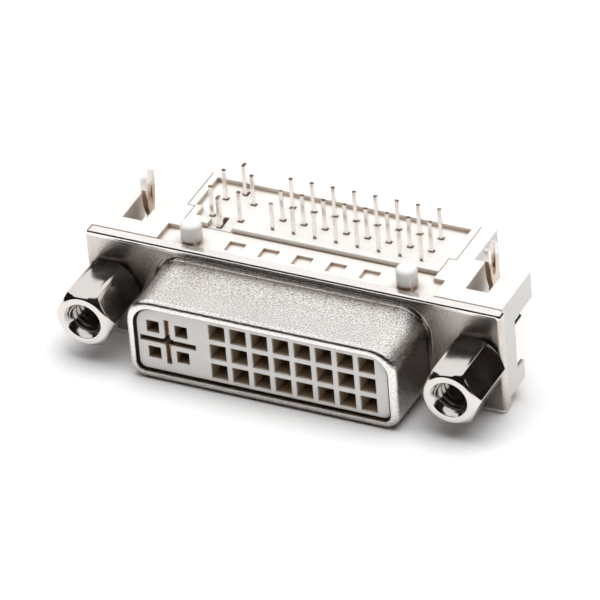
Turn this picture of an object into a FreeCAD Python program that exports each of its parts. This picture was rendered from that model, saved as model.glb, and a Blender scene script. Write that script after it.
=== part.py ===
import FreeCAD, Part
import math
import os
import re
import Sketcher

# Right-angle board connector for a digital and analogue video plug.
# It lies with its board side up, so the solder tails, board locks and locating pegs point
# along +Z. The mating face looks along -Y and the flange runs along X.
# The origin is on the front face of the flange, in the middle of the D shroud.

V = FreeCAD.Vector

# Driving dimensions in millimetres and degrees: name, value, what it sizes.
# "Depth" is a distance behind the flange face unless its note says otherwise.
SIZES = [
    ("JackSpacing", 32.7, "jack sockets, middle to middle"),
    ("FlangeEnd", 2.25, "jack socket to the end of the flange, along X"),
    ("FlangeHeight", 9.76, "flange, along Z"),
    ("FlangeCorner", 0.5, "corner radius of the flange"),
    ("PanCorner", 0.25, "corner radius inside the turned-back edge"),
    ("FlangeDepth", 0.85, "turned-back edge of the flange, along Y"),
    ("FlangeRound", 0.32, "outer radius of the turned-back edge"),
    ("Sheet", 0.4, "sheet of the shell"),
    ("ShroudWidth", 24.12, "D shroud at its rim, along X"),
    ("ShroudHeight", 7.64, "D shroud at its rim, along Z"),
    ("ShroudReach", 6.35, "rim in front of the flange face"),
    ("TopRadius", 2.4, "the two large corners of the D, on the board side"),
    ("LowRadius", 1.45, "the two small corners of the D"),
    ("ShroudDraft", 0.8, "draft of the shroud, degrees"),
    ("RimInset", 0.68, "outside of the shroud to the edge of its in-turned rim"),
    ("RimRound", 0.5, "radius over the rim"),
    ("RootChamfer", 0.25, "slope between the shroud and the flange"),
    ("JackFlats", 4.7, "hexagon across flats"),
    ("JackReach", 5.75, "front of a jack socket before the flange face"),
    ("JackRing", 4.35, "diameter of the turned front ring"),
    ("JackChamfer", 45.0, "front chamfer, degrees"),
    ("JackRearChamfer", 45.0, "rear chamfer, degrees"),
    ("JackMouth", 3.3, "diameter of the countersink"),
    ("JackMinor", 2.34, "inner diameter of the female thread"),
    ("JackBore", 5.0, "length of the threaded hole"),
    ("StudDiameter", 2.7, "screw end of a jack socket"),
    ("StudGap", 0.2, "screw end to its holes in the sheet and the moulding, radial"),
    ("ThreadGap", 0.07, "screw end to the thread of the bracket, radial"),
    ("LeftTurn", 1.5, "turn of the left hexagon, degrees"),
    ("RightTurn", 4.5, "turn of the right hexagon, degrees"),
    ("BlockGap", 0.12, "contact block to the inside of the shroud"),
    ("NoseGap", 0.2, "face of the contact block to the edge of the rim"),
    ("NoseSink", 0.3, "face of the contact block behind the rim"),
    ("PanGap", 0.06, "moulding to the turned-back edge"),
    ("EarInset", 0.2, "end of the flange to the side of an ear, along X"),
    ("HousingTop", 4.95, "centre line to the board side"),
    ("WallLow", 4.88, "centre line to the lower edge of the front wall"),
    ("WallDepth", 1.55, "back of the front wall"),
    ("BlockInset", 2.9, "jack socket to the side of the rear block, along X"),
    ("BlockLow", 4.05, "centre line to the lower side of the rear block"),
    ("BlockDepth", 11.1, "rear side"),
    ("EarSeat", 3.1, "wall of an ear that carries the bracket"),
    ("EarTopDepth", 6.6, "rear of the upper part of an ear"),
    ("EarTopUnder", 2.4, "centre line to the underside of the upper part"),
    ("EarLowDepth", 4.4, "rear of the lower part of an ear"),
    ("EarLowTop", 2.3, "centre line down to the top of the lower part"),
    ("SlotInset", 0.95, "jack socket to the middle of the board-lock slot, along X"),
    ("SlotWidth", 1.95, "board-lock slot, along X"),
    ("SlotDepth", 2.65, "front of the board-lock slot"),
    ("BoardStep", 0.45, "low area below the board side"),
    ("LowWidth", 24.8, "low area, front part, along X"),
    ("LowDepth", 3.1, "rear of the front part of the low area"),
    ("PegSpacing", 19.3, "locating pegs, middle to middle"),
    ("PegDiameter", 1.8, "locating peg"),
    ("PegStep", 0.96, "turned-back edge of the flange to the middle of a peg"),
    ("PegRoot", 2.4, "shoulder of a peg, flush with the flange in front"),
    ("PegRise", 2.0, "peg above the low area"),
    ("PegChamfer", 0.2, "chamfer at the top of a peg"),
    ("RecessSpacing", 3.02, "mould recesses, middle to middle"),
    ("RecessWidth", 1.47, "mould recess, along X"),
    ("RecessLength", 1.3, "mould recess, along Y"),
    ("RecessDepth", 2.98, "rear wall of a mould recess"),
    ("RecessSink", 0.3, "mould recess, along Z"),
    ("SpacerDepth", 4.1, "front of the tail spacer"),
    ("SpacerStep", 6.1, "where the spacer widens"),
    ("SpacerNarrow", 22.8, "front part of the spacer, along X"),
    ("SpacerWide", 24.1, "rear part of the spacer, along X"),
    ("SpacerThick", 1.25, "spacer from its underside to its rim"),
    ("SpacerGap", 0.05, "spacer to the moulding round it"),
    ("RibWidth", 0.85, "front rib of the spacer, along Y"),
    ("SideRim", 0.62, "side rims of the spacer, along X"),
    ("RearRim", 0.65, "rear rim of the spacer, along Y"),
    ("StepRim", 0.2, "rim where the spacer widens, along Y"),
    ("RibGapCentre", -8.25, "middle of the gap in the front rib, along X"),
    ("RibGapWidth", 2.2, "gap in the front rib, along X"),
    ("RoomWidth", 22.0, "room for the tails in the rear block, along X"),
    ("RoomFront", 4.9, "front of the room"),
    ("RoomRear", 10.2, "rear of the room"),
    ("RoomLow", 3.2, "centre line to the floor of the room"),
    ("ContactSpacing", 1.905, "digital contacts, both ways"),
    ("DigitalCentre", 2.7, "middle of the digital field, along X"),
    ("AnalogueCentre", -8.47, "middle of the analogue field, along X"),
    ("AnalogueSpacing", 2.54, "analogue contacts, both ways"),
    ("MouthSize", 1.47, "square mouth of a digital hole"),
    ("MouthLength", 0.9, "tapered mouth, along Y"),
    ("MouthTaper", 12.0, "taper of the mouth, degrees"),
    ("ChannelSize", 1.09, "square channel behind the mouth"),
    ("AnalogueSize", 1.12, "square analogue hole"),
    ("CrossWidth", 5.03, "level slot of the ground cross, along X"),
    ("CrossHeight", 4.3, "upright slot of the ground cross, along Z"),
    ("CrossBar", 0.5, "level slot, along Z"),
    ("CrossPost", 0.44, "upright slot, along X"),
    ("CrossRound", 0.3, "radius where the two slots meet"),
    ("CrossLength", 4.8, "level slot, along Y"),
    ("TailRow", 7.15, "middle row of tails"),
    ("TailWidth", 0.33, "solder tail, along X"),
    ("TailThick", 0.25, "solder tail, along Y"),
    ("TailTop", 7.4, "centre line to the end of the tails"),
    ("TailGap", 0.08, "tail to its hole in the spacer"),
    ("BendReach", 0.5, "slanting bend of a contact, both ways"),
    ("CupSize", 0.86, "spring cup of a contact, across"),
    ("CupSheet", 0.18, "sheet of a spring cup"),
    ("CupSink", 1.3, "front of the cups behind the face of the contact block"),
    ("CupLength", 3.2, "spring cup, along Y"),
    ("GroundSheet", 0.3, "sheet of the ground contact"),
    ("GroundSpacing", 5.0, "its two tails, middle to middle"),
    ("GroundArm", 1.8, "centre line to the outer edge of its spring arms"),
    ("GroundMouth", 0.45, "centre line to the inner edge of its spring arms"),
    ("GroundTail", 0.5, "its tails, along Y"),
    ("GroundSink", 0.4, "tips of its arms behind the face of the contact block"),
    ("GroundSlot", 1.65, "slot of its front tail in the spacer, along Y"),
    ("BracketSheet", 0.45, "sheet of a board-lock bracket"),
    ("BracketWidth", 3.6, "its wall, along X"),
    ("BracketReach", 1.9, "jack socket to its outer side, along X"),
    ("BracketHeight", 4.1, "its wall, along Z"),
    ("WingDepth", 1.75, "its wing, along Y"),
    ("WallBend", 0.4, "outer radius between its wall and its wing"),
    ("ShelfBend", 0.6, "outer radius between its wing and its shelf"),
    ("CollarDiameter", 3.5, "drawn collar round its thread"),
    ("CollarLength", 1.3, "drawn collar, along Y"),
    ("LockDepth", 5.65, "middle of the fork"),
    ("LockWidth", 1.7, "fork over its two legs, along Y"),
    ("LockSlit", 0.8, "gap between the legs"),
    ("LockBow", 0.16, "how much the legs close in towards the bottom of the gap"),
    ("LockTop", 7.4, "centre line to the top of the fork"),
    ("LockBarb", 0.08, "how far a barb stands out"),
    ("LockHook", 1.1, "barb to the top of the fork"),
    ("LockRoot", 0.35, "bottom of the gap below the board side"),
    ("LockNeck", 1.5, "top of the stem below the board side"),
    ("LockStem", 0.6, "stem of the fork, along Y"),
    ("LockTongue", 0.9, "tongue of the shelf under the stem, along X"),
]

COLUMNS = 8
ROWS = 3
RECESSES = 5
TOUCH = 1e-4

# Places that several pieces share, worked out from the sizes above.
FLANGE_WIDTH = "(JackSpacing + 2*FlangeEnd)"
EARS_WIDTH = "(JackSpacing + 2*FlangeEnd - 2*EarInset)"
NOSE_REACH = "(ShroudReach - NoseSink)"
CUP_REACH = "(ShroudReach - NoseSink - CupSink)"
BLOCK_WIDTH = "(JackSpacing - 2*BlockInset)"
SLOT_CENTRE = "(JackSpacing/2 - SlotInset)"
BRACKET_OUTER = "(JackSpacing/2 + BracketReach)"
FIRST_COLUMN = "(DigitalCentre - %s*ContactSpacing)" % ((COLUMNS - 1) / 2)
FRONT_GROUND_TAIL = "(TailRow - GroundSpacing/2)"
REAR_GROUND_TAIL = "(TailRow + GroundSpacing/2)"

doc = FreeCAD.newDocument("VideoConnector")


def fill_sheet():
    """Write every driving dimension into the sheet and name its cell."""
    cells = doc.addObject("Spreadsheet::Sheet", "Sizes")
    for row, (name, number, note) in enumerate(SIZES, start=1):
        cells.set("A%d" % row, note)
        cells.set("B%d" % row, str(number))
        cells.setAlias("B%d" % row, name)
    doc.recompute()
    return cells


sheet = fill_sheet()


def in_sheet(expression):
    """Point each size in an expression, a word with a capital, at the sheet."""
    return re.sub(r"\b([A-Z]\w+)", r"Sizes.\1", expression)


def number_of(expression):
    return float(sheet.evalExpression(in_sheet(expression)))


def bind(thing, path, expression):
    """Tie a property or a constraint to an expression of sizes."""
    thing.setExpression(path, in_sheet(expression))


def new_body(name):
    body = doc.addObject("PartDesign::Body", name)
    body.Label = name
    return body


def origin_plane(body, role):
    return next(o for o in body.Origin.OriginFeatures if o.Role == role)


def new_sketch(body, name, plane, offset="0"):
    """Lay a sketch on an origin plane of the body, moved along the plane's normal.

    The normal of XZ_Plane looks along -Y, that of YZ_Plane along +X, that of XY_Plane along +Z.
    """
    sketch = body.newObject("Sketcher::SketchObject", name)
    sketch.AttachmentSupport = [(origin_plane(body, plane), "")]
    sketch.MapMode = "FlatFace"
    bind(sketch, "AttachmentOffset.Base.z", offset)
    return sketch


def measure(sketch, kind, places, expression):
    """Add a dimension to a sketch and tie it to an expression of sizes."""
    index = sketch.addConstraint(Sketcher.Constraint(kind, *places, number_of(expression)))
    bind(sketch, "Constraints[%d]" % index, expression)


def fix_point(sketch, geometry, point, across, along):
    """Fix a point by its distances from the sketch's origin."""
    measure(sketch, "DistanceX", (-1, 1, geometry, point), across)
    measure(sketch, "DistanceY", (-1, 1, geometry, point), along)


def draw_polygon(sketch, corners):
    """Draw a closed outline. Each corner is a pair of expressions."""
    first = sketch.GeometryCount
    count = len(corners)
    places = [V(number_of(across), number_of(along), 0) for across, along in corners]
    for i in range(count):
        sketch.addGeometry(Part.LineSegment(places[i], places[(i + 1) % count]), False)
    for i, (across, along) in enumerate(corners):
        before = first + (i - 1) % count
        sketch.addConstraint(Sketcher.Constraint("Coincident", before, 2, first + i, 1))
        fix_point(sketch, first + i, 1, across, along)
    return sketch


def draw_box(sketch, left, right, low, high):
    """Draw a rectangle between four expressions."""
    return draw_polygon(sketch, [(left, low), (right, low), (right, high), (left, high)])


def draw_square(sketch, across, along, width, height=None):
    """Draw a rectangle round its middle."""
    half_x = "(%s)/2" % width
    half_y = "(%s)/2" % (height or width)
    return draw_box(sketch, across + " - " + half_x, across + " + " + half_x,
                    along + " - " + half_y, along + " + " + half_y)


def draw_circle(sketch, across, along, diameter):
    middle = V(number_of(across), number_of(along), 0)
    index = sketch.addGeometry(Part.Circle(middle, V(0, 0, 1), number_of(diameter) / 2), False)
    fix_point(sketch, index, 3, across, along)
    measure(sketch, "Diameter", (index,), diameter)
    return sketch


def draw_rounded(sketch, width, height, inset, top_radius, low_radius):
    """Draw a rectangle about the origin, all round inside another by an inset.

    Its two top corners share one radius and its two low corners the other.
    """
    half_x = "(%s)/2 - (%s)" % (width, inset)
    half_y = "(%s)/2 - (%s)" % (height, inset)
    top = "%s - (%s)" % (top_radius, inset)
    low = "%s - (%s)" % (low_radius, inset)
    quarter = math.pi / 2
    corners = [(1, 1, top), (-1, 1, top), (-1, -1, low), (1, -1, low)]
    for i, (side_x, side_y, radius) in enumerate(corners):
        size = number_of(radius)
        middle = V(side_x * (number_of(half_x) - size), side_y * (number_of(half_y) - size), 0)
        round_edge = Part.Circle(middle, V(0, 0, 1), size)
        sketch.addGeometry(Part.ArcOfCircle(round_edge, i * quarter, (i + 1) * quarter), False)
        measure(sketch, "Radius", (i,), radius)
    for i in range(4):
        after = (i + 1) % 4
        ends = sketch.getPoint(i, 2), sketch.getPoint(after, 1)
        line = sketch.addGeometry(Part.LineSegment(*ends), False)
        sketch.addConstraint(Sketcher.Constraint("Tangent", i, 2, line, 1))
        sketch.addConstraint(Sketcher.Constraint("Tangent", line, 2, after, 1))
        sketch.addConstraint(Sketcher.Constraint("Vertical" if i % 2 else "Horizontal", line))
    measure(sketch, "DistanceX", (-1, 1, 0, 1), half_x)
    measure(sketch, "DistanceY", (-1, 1, 1, 1), half_y)
    measure(sketch, "DistanceX", (-1, 1, 2, 1), "-(%s)" % half_x)
    measure(sketch, "DistanceY", (-1, 1, 3, 1), "-(%s)" % half_y)
    return sketch


def draw_shroud(sketch, inset="0"):
    """Draw the D of the shroud, or one inside it by an inset."""
    return draw_rounded(sketch, "ShroudWidth", "ShroudHeight", inset, "TopRadius", "LowRadius")


def draw_flange(sketch, inset="0", corner="FlangeCorner"):
    """Draw the outline of the flange, or one inside it by an inset with a corner radius."""
    radius = "%s + (%s)" % (corner, inset)
    return draw_rounded(sketch, FLANGE_WIDTH, "FlangeHeight", inset, radius, radius)


def pad(body, sketch, length, against=False, both_ways=False, taper=None):
    """Raise a sketch along its plane's normal, or against it."""
    feature = body.newObject("PartDesign::Pad", sketch.Name + "Pad")
    feature.Profile = sketch
    feature.Reversed = against
    feature.SideType = "Symmetric" if both_ways else "One side"
    bind(feature, "Length", length)
    if taper:
        bind(feature, "TaperAngle", taper)
    return feature


def pocket(body, sketch, length, along=False, taper=None):
    """Cut a sketch against its plane's normal, or along it."""
    feature = body.newObject("PartDesign::Pocket", sketch.Name + "Pocket")
    feature.Profile = sketch
    feature.Reversed = along
    bind(feature, "Length", length)
    if taper:
        bind(feature, "TaperAngle", taper)
    return feature


def repeat(body, features, sketch, count, step):
    """Repeat features along the level axis of a sketch."""
    pattern = body.newObject("PartDesign::LinearPattern", sketch.Name + "Row")
    pattern.Originals = features
    pattern.Direction = (sketch, ["H_Axis"])
    pattern.Occurrences = count
    bind(pattern, "Length", "%d * %s" % (count - 1, step))
    body.Tip = pattern
    return pattern


def mirror(body, features, name):
    """Repeat features on the other side of the middle."""
    pattern = body.newObject("PartDesign::Mirrored", name)
    pattern.Originals = features
    pattern.MirrorPlane = (origin_plane(body, "YZ_Plane"), [""])
    body.Tip = pattern
    return pattern


def edges_where(shape, test):
    """Name the edges of a shape whose bounding box passes a test."""
    return ["Edge%d" % (i + 1) for i, edge in enumerate(shape.Edges) if test(edge.BoundBox)]


def soften(body, kind, size, test):
    """Fillet or chamfer the edges of the body that pass a test."""
    doc.recompute()
    base = body.Tip
    feature = body.newObject("PartDesign::" + kind, "%s%d" % (kind, len(body.Group)))
    feature.Base = (base, edges_where(base.Shape, test))
    bind(feature, "Radius" if kind == "Fillet" else "Size", size)
    return feature


def near(a, b):
    return abs(a - b) < TOUCH


def front_shell():
    """Drawn steel: a flange with turned-back edges and a D shroud with an in-turned rim."""
    body = new_body("front_shell")
    reach, half_flange = number_of("ShroudReach"), number_of(FLANGE_WIDTH + "/2")
    half_high = number_of("FlangeHeight/2")
    pad(body, draw_flange(new_sketch(body, "FlangeOutline", "XZ_Plane")), "FlangeDepth", against=True)
    rim = draw_shroud(new_sketch(body, "ShroudOutline", "XZ_Plane", "ShroudReach"))
    pad(body, rim, "ShroudReach + Sheet/2", against=True, taper="ShroudDraft")
    soften(body, "Fillet", "RimRound", lambda box: near(box.YMax, -reach))

    def on_face(box):
        return near(box.YMin, 0) and near(box.YMax, 0)

    def at_flange_edge(box):
        at_end = max(box.XMax, -box.XMin) > half_flange - TOUCH
        return on_face(box) and (at_end or max(box.ZMax, -box.ZMin) > half_high - TOUCH)

    soften(body, "Chamfer", "RootChamfer", lambda box: on_face(box) and not at_flange_edge(box))
    soften(body, "Fillet", "FlangeRound", at_flange_edge)
    pan = draw_flange(new_sketch(body, "PanOutline", "XZ_Plane", "-FlangeDepth"), "Sheet", "PanCorner")
    pocket(body, pan, "FlangeDepth - Sheet", along=True)
    inside = draw_shroud(new_sketch(body, "InsideOutline", "XZ_Plane", "-Sheet"), "Sheet")
    pocket(body, inside, "ShroudReach", along=True)
    opening = draw_shroud(new_sketch(body, "RimOutline", "XZ_Plane", "0"), "RimInset")
    pocket(body, opening, "ShroudReach + Sheet", along=True)
    holes = new_sketch(body, "ScrewHoles", "XZ_Plane", "Sheet")
    for side in ("", "-"):
        draw_circle(holes, side + "JackSpacing/2", "0", "StudDiameter + 2*StudGap")
    pocket(body, holes, "3*Sheet")
    return body


def housing_walls(body):
    """The contact block in the shroud, the front wall behind the flange and the rear block."""
    block = draw_shroud(new_sketch(body, "BlockOutline", "XZ_Plane", "-Sheet"), "Sheet + BlockGap")
    pad(body, block, "ShroudReach - BlockGap")
    nose = draw_shroud(new_sketch(body, "NoseOutline", "XZ_Plane", NOSE_REACH), "RimInset + NoseGap")
    pad(body, nose, "2*Sheet - NoseSink", against=True)
    boss = new_sketch(body, "BossOutline", "XZ_Plane", "-Sheet")
    draw_flange(boss, "Sheet + PanGap", "PanCorner")
    pad(body, boss, "WallDepth - Sheet", against=True)
    wall = draw_box(new_sketch(body, "WallOutline", "XZ_Plane", "-FlangeDepth"),
                    "-" + EARS_WIDTH + "/2", EARS_WIDTH + "/2", "-WallLow", "HousingTop")
    pad(body, wall, "WallDepth - FlangeDepth", against=True)
    rear = draw_box(new_sketch(body, "RearOutline", "XZ_Plane", "-FlangeDepth"),
                    "-" + BLOCK_WIDTH + "/2", BLOCK_WIDTH + "/2", "-BlockLow", "HousingTop")
    pad(body, rear, "BlockDepth - FlangeDepth", against=True)


def housing_ears(body):
    """The two C-shaped ears that hold the brackets, with the slots of the board locks."""
    ear = draw_polygon(new_sketch(body, "EarProfile", "YZ_Plane", BLOCK_WIDTH + "/4"), [
        ("FlangeDepth", "-BlockLow"), ("EarLowDepth", "-BlockLow"), ("EarLowDepth", "-EarLowTop"),
        ("EarSeat", "-EarLowTop"), ("EarSeat", "EarTopUnder"), ("EarTopDepth", "EarTopUnder"),
        ("EarTopDepth", "HousingTop"), ("FlangeDepth", "HousingTop")])
    ear_pad = pad(body, ear, EARS_WIDTH + "/2 - " + BLOCK_WIDTH + "/4")
    mirror(body, [ear_pad], "OtherEar")
    slot = draw_box(new_sketch(body, "LockSlot", "XY_Plane", "HousingTop"),
                    SLOT_CENTRE + " - SlotWidth/2", SLOT_CENTRE + " + SlotWidth/2",
                    "SlotDepth", "EarTopDepth + SlotWidth")
    slot_cut = pocket(body, slot, "HousingTop - EarTopUnder + BoardStep")
    mirror(body, [slot_cut], "OtherSlot")
    holes = new_sketch(body, "ScrewHoles", "XZ_Plane", "0")
    for side in ("", "-"):
        draw_circle(holes, side + "JackSpacing/2", "0", "StudDiameter + 2*StudGap")
    pocket(body, holes, "EarSeat + Sheet")


def housing_board_side(body):
    """The low area, the seat of the tail spacer, the room under it and the locating pegs."""
    low = draw_polygon(new_sketch(body, "LowArea", "XY_Plane", "HousingTop"), [
        ("-LowWidth/2", "0"), ("LowWidth/2", "0"), ("LowWidth/2", "LowDepth"),
        ("SpacerNarrow/2", "LowDepth"), ("SpacerNarrow/2", "SpacerStep"),
        ("-SpacerNarrow/2", "SpacerStep"), ("-SpacerNarrow/2", "LowDepth"),
        ("-LowWidth/2", "LowDepth")])
    pocket(body, low, "BoardStep")
    seat = draw_spacer(new_sketch(body, "SpacerSeat", "XY_Plane", "HousingTop"), "-SpacerGap")
    pocket(body, seat, "SpacerThick")
    room = draw_box(new_sketch(body, "TailRoom", "XY_Plane", "HousingTop"),
                    "-RoomWidth/2", "RoomWidth/2", "RoomFront", "RoomRear")
    pocket(body, room, "HousingTop + RoomLow")
    first = "-%d*RecessSpacing" % (RECESSES // 2)
    recess = draw_box(new_sketch(body, "Recess", "XY_Plane", "HousingTop - BoardStep"),
                      first + " - RecessWidth/2", first + " + RecessWidth/2",
                      "RecessDepth - RecessLength", "RecessDepth")
    repeat(body, [pocket(body, recess, "RecessSink")], recess, RECESSES, "RecessSpacing")
    for name, size, rise in (("Roots", "PegRoot", "BoardStep"), ("Pegs", "PegDiameter", "PegRise")):
        pegs = new_sketch(body, name, "XY_Plane", "HousingTop - BoardStep")
        for side in ("", "-"):
            draw_circle(pegs, side + "PegSpacing/2", "FlangeDepth + PegStep", size)
        pad(body, pegs, rise)
        if name == "Roots":
            front = draw_box(new_sketch(body, "RootFront", "XY_Plane", "HousingTop - BoardStep"),
                             "-LowWidth/2", "LowWidth/2", "-FlangeDepth", "FlangeDepth")
            pocket(body, front, "BoardStep", along=True)
    peg_top = number_of("HousingTop - BoardStep + PegRise")
    soften(body, "Chamfer", "PegChamfer", lambda box: near(box.ZMin, peg_top))


def housing_contact_holes(body):
    """The mouths and channels of the contacts, open from the mating face to the room."""
    through = NOSE_REACH + " + RoomFront + Sheet"
    channels = new_sketch(body, "Channels", "XZ_Plane", NOSE_REACH)
    mouths = new_sketch(body, "Mouths", "XZ_Plane", NOSE_REACH)
    for row in range(ROWS):
        draw_square(channels, FIRST_COLUMN, row_height(row), "ChannelSize")
        draw_square(mouths, FIRST_COLUMN, row_height(row), "MouthSize")
    cuts = [pocket(body, channels, through),
            pocket(body, mouths, "MouthLength", taper="-MouthTaper")]
    repeat(body, cuts, channels, COLUMNS, "ContactSpacing")
    analogue = new_sketch(body, "AnalogueHoles", "XZ_Plane", NOSE_REACH)
    for across, along, tail in analogue_places():
        draw_square(analogue, across, along, "AnalogueSize")
    pocket(body, analogue, through)
    bar = draw_square(new_sketch(body, "CrossBar", "XZ_Plane", NOSE_REACH),
                      "AnalogueCentre", "0", "CrossWidth", "CrossBar")
    pocket(body, bar, "CrossLength")
    post = draw_square(new_sketch(body, "CrossPost", "XZ_Plane", NOSE_REACH),
                       "AnalogueCentre", "0", "CrossPost", "CrossHeight")
    pocket(body, post, through)
    sides = [number_of("AnalogueCentre - CrossPost/2"), number_of("AnalogueCentre + CrossPost/2")]
    half_bar = number_of("CrossBar/2")

    def at_crossing(box):
        level = near(box.ZMin, box.ZMax) and near(abs(box.ZMin), half_bar)
        return level and near(box.XMin, box.XMax) and any(near(box.XMin, x) for x in sides)

    soften(body, "Fillet", "CrossRound", at_crossing)
    blade = draw_box(new_sketch(body, "BladeSlot", "XY_Plane", "HousingTop"),
                     "AnalogueCentre - CrossPost/2", "AnalogueCentre + CrossPost/2",
                     FRONT_GROUND_TAIL + " - GroundTail/2 - TailGap", "RoomFront + Sheet")
    pocket(body, blade, "HousingTop")


def housing():
    """One white moulding: contact block, front wall, ears, pegs and rear block."""
    body = new_body("housing")
    housing_walls(body)
    housing_ears(body)
    housing_board_side(body)
    housing_contact_holes(body)
    return body


def row_height(row):
    """Height of a row of digital contacts. Row 0 is the one next to the board."""
    return "%d*ContactSpacing" % ((ROWS - 1) // 2 - row)


def row_tail(row):
    """Place of the tails of a row behind the flange face. Row 0 bends up first."""
    return "TailRow - %d*ContactSpacing" % ((ROWS - 1) // 2 - row)


def analogue_places():
    """The four analogue contacts: across, height and place of the tail."""
    half = "AnalogueSpacing/2"
    places = []
    for height, tail in ((half, "TailRow - " + half), ("-" + half, "TailRow + " + half)):
        for side in (" - ", " + "):
            places.append(("AnalogueCentre" + side + half, height, tail))
    return places


def draw_spacer(sketch, inset):
    """Draw the stepped outline of the tail spacer, open-ended behind for a seat round it."""
    narrow = "(SpacerNarrow/2 - (%s))" % inset
    wide = "(SpacerWide/2 - (%s))" % inset
    front, step = "SpacerDepth + (%s)" % inset, "SpacerStep + (%s)" % inset
    rear = "BlockDepth - (%s)" % inset
    return draw_polygon(sketch, [
        ("-" + narrow, front), (narrow, front), (narrow, step), (wide, step),
        (wide, rear), ("-" + wide, rear), ("-" + wide, step), ("-" + narrow, step)])


def tail_spacer():
    """White tray in the board side, whose floor spaces the tails."""
    body = new_body("tail_spacer")
    outline = draw_spacer(new_sketch(body, "Outline", "XY_Plane", "HousingTop - SpacerThick"), "0")
    pad(body, outline, "SpacerThick")
    narrow, wide = "(SpacerNarrow/2 - SideRim)", "(SpacerWide/2 - SideRim)"
    front, step, rear = "SpacerDepth + RibWidth", "SpacerStep + StepRim", "BlockDepth - RearRim"
    tray = draw_polygon(new_sketch(body, "Tray", "XY_Plane", "HousingTop"), [
        ("-" + narrow, front), (narrow, front), (narrow, step), (wide, step),
        (wide, rear), ("-" + wide, rear), ("-" + wide, step), ("-" + narrow, step)])
    pocket(body, tray, "BoardStep")
    gap = draw_box(new_sketch(body, "RibGap", "XY_Plane", "HousingTop"),
                   "RibGapCentre - RibGapWidth/2", "RibGapCentre + RibGapWidth/2",
                   "SpacerDepth - RibWidth", front + " + RibWidth/2")
    pocket(body, gap, "BoardStep")
    wide_hole, long_hole = "TailWidth + 2*TailGap", "TailThick + 2*TailGap"
    column = new_sketch(body, "TailHoles", "XY_Plane", "HousingTop")
    for row in range(ROWS):
        draw_square(column, FIRST_COLUMN, row_tail(row), wide_hole, long_hole)
    repeat(body, [pocket(body, column, "2*SpacerThick")], column, COLUMNS, "ContactSpacing")
    analogue = new_sketch(body, "AnalogueTailHoles", "XY_Plane", "HousingTop")
    for across, height, tail in analogue_places():
        draw_square(analogue, across, tail, wide_hole, long_hole)
    pocket(body, analogue, "2*SpacerThick")
    ground = new_sketch(body, "GroundSlots", "XY_Plane", "HousingTop")
    left, right = ["AnalogueCentre %s (GroundSheet/2 + TailGap)" % sign for sign in "-+"]
    half_tail = "(GroundTail/2 + TailGap)"
    slot_start = FRONT_GROUND_TAIL + " - " + half_tail
    draw_box(ground, left, right, slot_start, slot_start + " + GroundSlot")
    draw_box(ground, left, right, REAR_GROUND_TAIL + " - " + half_tail,
             REAR_GROUND_TAIL + " + " + half_tail)
    pocket(body, ground, "2*SpacerThick")
    return body


def contact(name, across, height, tail):
    """A formed contact: spring cup in the block, level stem, slanting bend and solder tail."""
    body = new_body(name)
    half, inner = "CupSize/2", "(CupSize/2 - CupSheet)"
    cup = draw_polygon(new_sketch(body, "Cup", "XZ_Plane", CUP_REACH), [
        ("-" + half, "-" + half), (half, "-" + half), (half, half), (inner, half),
        (inner, "-" + inner), ("-" + inner, "-" + inner), ("-" + inner, half), ("-" + half, half)])
    pad(body, cup, "CupLength", against=True)
    end = draw_square(new_sketch(body, "CupEnd", "XZ_Plane", CUP_REACH + " - CupLength"),
                      "0", "0", "CupSize")
    pad(body, end, "CupSheet")
    start, top = "CupLength - " + CUP_REACH, "TailTop - (%s)" % height
    thick, mitre = "TailThick/2", "TailThick/2*tan(22.5)"
    stem = draw_polygon(new_sketch(body, "Stem", "YZ_Plane"), [
        (start, "-" + thick), (tail + " - BendReach + " + mitre, "-" + thick),
        (tail + " + " + thick, "BendReach - " + mitre), (tail + " + " + thick, top),
        (tail + " - " + thick, top), (tail + " - " + thick, "BendReach + " + mitre),
        (tail + " - BendReach - " + mitre, thick), (start, thick)])
    pad(body, stem, "TailWidth", both_ways=True)
    bind(body, "Placement.Base.x", across)
    bind(body, "Placement.Base.z", height)
    return body


def ground_contact(name):
    """The stamped ground blade: two spring arms at the cross, two solder tails."""
    body = new_body(name)
    front = [FRONT_GROUND_TAIL + sign + "GroundTail/2" for sign in (" - ", " + ")]
    rear = [REAR_GROUND_TAIL + sign + "GroundTail/2" for sign in (" - ", " + ")]
    tip, crotch = "GroundSink - " + NOSE_REACH, "CrossLength - " + NOSE_REACH
    blade = draw_polygon(new_sketch(body, "Blade", "YZ_Plane"), [
        (tip, "GroundMouth"), (tip, "GroundArm"), (front[0], "GroundArm"), (front[0], "TailTop"),
        (front[1], "TailTop"), (front[1], "GroundArm"), (rear[0], "GroundArm"), (rear[0], "TailTop"),
        (rear[1], "TailTop"), (rear[1], "GroundMouth"), ("CrossLength - " + CUP_REACH, "GroundMouth"),
        ("0", "-GroundArm"), (tip, "-GroundArm"), (tip, "-GroundMouth"), (crotch, "-GroundMouth"),
        (crotch, "GroundMouth")])
    pad(body, blade, "GroundSheet", both_ways=True)
    bind(body, "Placement.Base.x", "AnalogueCentre")
    return body


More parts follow.
